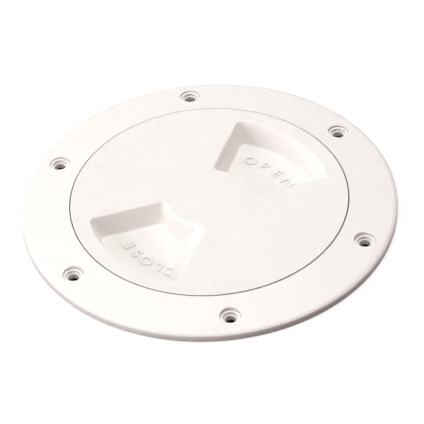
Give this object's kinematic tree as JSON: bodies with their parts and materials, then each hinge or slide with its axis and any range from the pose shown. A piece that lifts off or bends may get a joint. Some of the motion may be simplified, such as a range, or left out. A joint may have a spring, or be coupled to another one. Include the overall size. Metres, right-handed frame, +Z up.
{
  "type": "deck inspection plate",
  "caption": "Round flush deck plate: a screw-down flange with a threaded collar, closed by a screw-in lid with two wedge-shaped finger recesses and a rubber seal.",
  "frame": {"origin": "on the plate's axis, in the plane of the flange's underside, where it beds on the deck", "axes": "+Z up out of the deck along the axis; +X along the middle of the finger recess that is pushed to open the lid, with the closing recess on -X"},
  "size_m": [0.143, 0.143, 0.0192],
  "materials": {
    "ring_plastic": "smooth satin, off-white",
    "lid_plastic": "finely stippled, off-white",
    "seal_rubber": "matt black"
  },
  "bodies": {
    "ring": {"mounting_ring": "ring_plastic"},
    "seal": {"o_ring": "seal_rubber"},
    "lid": {"screw_lid": "lid_plastic"}
  },
  "joints": [
    {"name": "lid_rise", "type": "slide", "parent": "ring", "child": "seal", "axis": [0, 0, 1], "range_m": [0, 0.02]},
    {"name": "lid_turn", "type": "hinge", "parent": "seal", "child": "lid", "pos_m": [0, 0, 0], "axis": [0, 0, 1], "range_deg": [0, 1440]}
  ],
  "couplings": [
    {"joint": "lid_rise", "follows": "lid_turn", "m_per_rad": 0.00079577}
  ]
}
